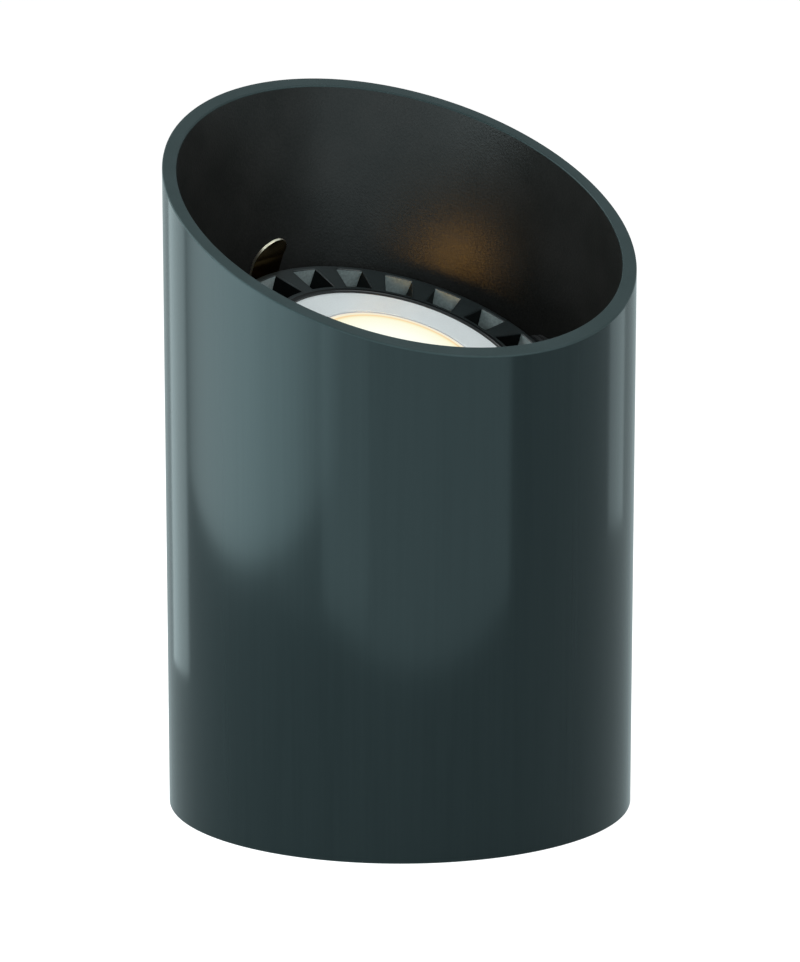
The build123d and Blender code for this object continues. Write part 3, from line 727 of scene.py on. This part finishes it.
# Softboxes on the floor, which the wall mirrors: name, azimuth, gap, width, height, brightness, spread.
STANDING_SOFTBOXES = (
    ("left_softbox", -104, 385 * MM, 1.15, 0.32, 1.64, 100),
    ("back_left_softbox", -148, 150 * MM, 0.085, 0.30, 1.1, 180),
    ("front_softbox", -19, 235 * MM, 0.56, 0.32, 1.12, 180),
    ("front_left_softbox", -62, 300 * MM, 0.30, 0.32, 0.2, 100),
    ("right_softbox", 97, 410 * MM, 0.15, 0.32, 0.75, 180),
)
HIGH_SOFTBOX_AIM = (0, 0, 0.11)
STANDING_CLEARANCE = 1 * MM
SOFTBOX_COLOUR = "#E6FCFF"
GLOW_COLOUR = "#FFBC59"
GLOW_POWER = 0.03
GLOW_ANGLE = radians(60)
GLOW_SOFTNESS = 6 * MM
GLOW_SOURCE = Vector((-9.3, 14.8, 156.0)) * MM
GLOW_PLACE = Vector((46.0, 50.0, 171.0)) * MM

FLOOR_SIDE = 12.0
FLOOR_PAPER = "#F4F4F4"
FLOOR_SEEN_PAPER = "#A0A0A0"
FLOOR_SEEN_GLOW = 0.85
FLOOR_MIRRORED = 0.6
WORLD_LIGHT = 0.45
WORLD_MIRRORED = 0.7


def make_camera():
    """The photograph's camera, from the perspective of the tube's rim and foot."""
    lens = bpy.data.cameras.new("photo_camera")
    lens.sensor_width = SENSOR_WIDTH
    lens.lens = FOCAL_PX * SENSOR_WIDTH / PHOTO_LONG_SIDE_PX
    lens.clip_start = 0.01
    camera = bpy.data.objects.new("photo_camera", lens)
    bpy.context.scene.collection.objects.link(camera)
    away = Vector((
        sin(VIEW_AZIMUTH) * cos(VIEW_ELEVATION), -cos(VIEW_AZIMUTH) * cos(VIEW_ELEVATION),
        sin(VIEW_ELEVATION)))
    camera.location = VIEW_TARGET + VIEW_DISTANCE * away
    pitch = VIEW_ELEVATION - atan2(VIEW_TARGET_DROP_PX, FOCAL_PX)
    camera.rotation_euler = (pi / 2 - pitch, 0, VIEW_AZIMUTH)
    bpy.context.scene.camera = camera


def soft_light(name, azimuth, elevation, distance, width, height, power, aim):
    """A rectangular softbox that faces the object from an azimuth as the camera's is counted."""
    lamp = bpy.data.lights.new(name, "AREA")
    lamp.shape = "RECTANGLE"
    lamp.size = width
    lamp.size_y = height
    lamp.energy = power
    box = bpy.data.objects.new(name, lamp)
    bpy.context.scene.collection.objects.link(box)
    a, e = radians(azimuth), radians(elevation)
    away = Vector((sin(a) * cos(e), -cos(a) * cos(e), sin(e)))
    box.location = Vector(aim) + distance * away
    box.rotation_euler = (-away).to_track_quat("-Z", "Y").to_euler()
    box.visible_camera = False
    return box


def standing_softbox(name, azimuth, gap, width, height, brightness, spread):
    """A low softbox standing on the floor at a gap from the tube's wall, which mirrors it."""
    aim = (0, 0, height / 2 + STANDING_CLEARANCE)
    power = brightness * pi * width * height
    box = soft_light(name, azimuth, 0, TUBE_RADIUS + gap, width, height, power, aim)
    box.data.spread = radians(spread)
    box.data.color = colour(SOFTBOX_COLOUR)[:3]


def lamp_glow():
    """The lamp's own warm light, which falls on the inside of the tube behind it."""
    glow = bpy.data.lights.new("lamp_glow", "SPOT")
    glow.color = colour(GLOW_COLOUR)[:3]
    glow.energy = GLOW_POWER
    glow.spot_size = GLOW_ANGLE
    glow.spot_blend = 1.0
    glow.shadow_soft_size = GLOW_SOFTNESS
    source = bpy.data.objects.new("lamp_glow", glow)
    bpy.context.scene.collection.objects.link(source)
    source.location = GLOW_SOURCE
    source.rotation_euler = (GLOW_PLACE - source.location).to_track_quat("-Z", "Y").to_euler()
    source.visible_camera = False


def light_paths(tree, *kinds):
    """One where a ray is of one of the kinds."""
    path = add_node(tree, "LightPath", {}, {})
    found = path.outputs[kinds[0]]
    for kind in kinds[1:]:
        either = add_node(tree, "Math", {"operation": "MAXIMUM"}, {0: found, 1: path.outputs[kind]})
        found = either.outputs["Value"]
    return found


def mix_shaders(tree, share, without, with_it):
    """The first shader where the share is nought and the second where it is one."""
    mixed = add_node(tree, "MixShader", {}, {"Fac": share, 1: without, 2: with_it})
    return mixed.outputs["Shader"]


def make_floor():
    """A plain pale floor that the camera sees as near white, with the object's shadow on it.

    Mirrored views see it as pale. Under the tube the camera sees it by what light gets there.
    """
    bpy.ops.object.select_all(action="DESELECT")
    bpy.ops.mesh.primitive_plane_add(size=FLOOR_SIDE, location=(0, 0, 0))
    floor = bpy.context.object
    floor.name = "floor"
    material, tree, output = new_material("plain_floor")
    paper = add_node(tree, "BsdfDiffuse", {}, {"Color": colour(FLOOR_PAPER)}).outputs["BSDF"]
    seen_paper = add_node(tree, "BsdfDiffuse", {}, {"Color": colour(FLOOR_SEEN_PAPER)})
    seen_glow = add_node(tree, "Emission", {}, {"Color": colour("#FFFFFF"), "Strength": FLOOR_SEEN_GLOW})
    open_floor = add_node(tree, "AddShader", {}, {
        0: seen_paper.outputs["BSDF"], 1: seen_glow.outputs["Emission"]})
    place = add_node(tree, "TexCoord", {}, {})
    reach = add_node(tree, "VectorMath", {"operation": "LENGTH"}, {0: place.outputs["Object"]})
    under = add_node(tree, "Math", {"operation": "LESS_THAN"}, {
        0: reach.outputs["Value"], 1: TUBE_INNER_RADIUS})
    shaded = mix_shaders(tree, under.outputs["Value"], open_floor.outputs["Shader"], paper)
    pale = add_node(tree, "Emission", {}, {"Color": colour(SOFTBOX_COLOUR), "Strength": FLOOR_MIRRORED})
    mirrored = light_paths(tree, "Is Glossy Ray", "Is Transmission Ray")
    lit = mix_shaders(tree, mirrored, paper, pale.outputs["Emission"])
    both = mix_shaders(tree, light_paths(tree, "Is Camera Ray"), lit, shaded)
    tree.links.new(both, output.inputs["Surface"])
    floor.data.materials.append(material)


def make_world():
    """Soft light from all round, which the camera sees as white and mirrored views as pale."""
    world = bpy.data.worlds.new("studio")
    bpy.context.scene.world = world
    world.use_nodes = True
    tree = world.node_tree
    tree.nodes.clear()
    dim, pale, white = [
        add_node(tree, "Background", {}, {"Color": colour(code), "Strength": strength}).outputs["Background"]
        for code, strength in (
            ("#FFFFFF", WORLD_LIGHT), (SOFTBOX_COLOUR, WORLD_MIRRORED), ("#FFFFFF", 1.0))]
    lit = mix_shaders(tree, light_paths(tree, "Is Glossy Ray"), dim, pale)
    seen = light_paths(tree, "Is Camera Ray", "Is Transmission Ray")
    add_node(tree, "OutputWorld", {}, {"Surface": mix_shaders(tree, seen, lit, white)})


# The scene

materials = make_materials()
make_camera()
make_world()
make_floor()
for name, azimuth, elevation, distance, side, power in HIGH_SOFTBOXES:
    soft_light(name, azimuth, elevation, distance, side, side, power, HIGH_SOFTBOX_AIM)
for softbox in STANDING_SOFTBOXES:
    standing_softbox(*softbox)
lamp_glow()

housing_tube_shell()
lamp_casting()
lamp_fins()
face_trim()
face_bezel()
lens_dome()
spring_clip("clip_high", CLIP_ANGLE, "clip_high_arm")
spring_clip("clip_low", CLIP_ANGLE + pi, "clip_low_arm")

# The frame's own nodes that are shown as they are, and what each is made of.
CARRIED = {
    "base_insert": "abs_black", "gland_body": "nylon_black", "gland_nut": "nylon_black",
    "gland_locknut": "nylon_black", "gland_seal": "silicone", "lens_gasket": "silicone",
    "swivel_bolt": "stainless", "swivel_lock_nut": "stainless", "swivel_spring_washer": "stainless",
    "pivot_screws": "black_screw", "pivot_washers": "black_screw", "pivot_clinch_nuts": "black_screw",
    "clip_rivets": "stainless", "board_screws": "stainless", "rear_cap_screws": "stainless",
    "terminal_screws": "stainless", "swivel_friction_washer": "nylon_white",
    "pivot_spacers": "nylon_black", "yoke_strap": "holder_steel", "holder_ring": "holder_steel",
    "rear_cap": "abs_black", "reflector": "reflector_metal",
    "led_board": "board_white", "led_emitter": "emitter", "thermal_pad": "pad_grey",
    "driver_board": "board_green", "driver_capacitor": "component", "driver_inductor": "component",
    "driver_rectifier": "component", "terminal_posts": "brass", "terminal_washers": "brass",
}
for node, finish_name in CARRIED.items():
    give_material(frame["nodes"][node], finish_name)

bpy.context.scene.view_settings.view_transform = "Standard"
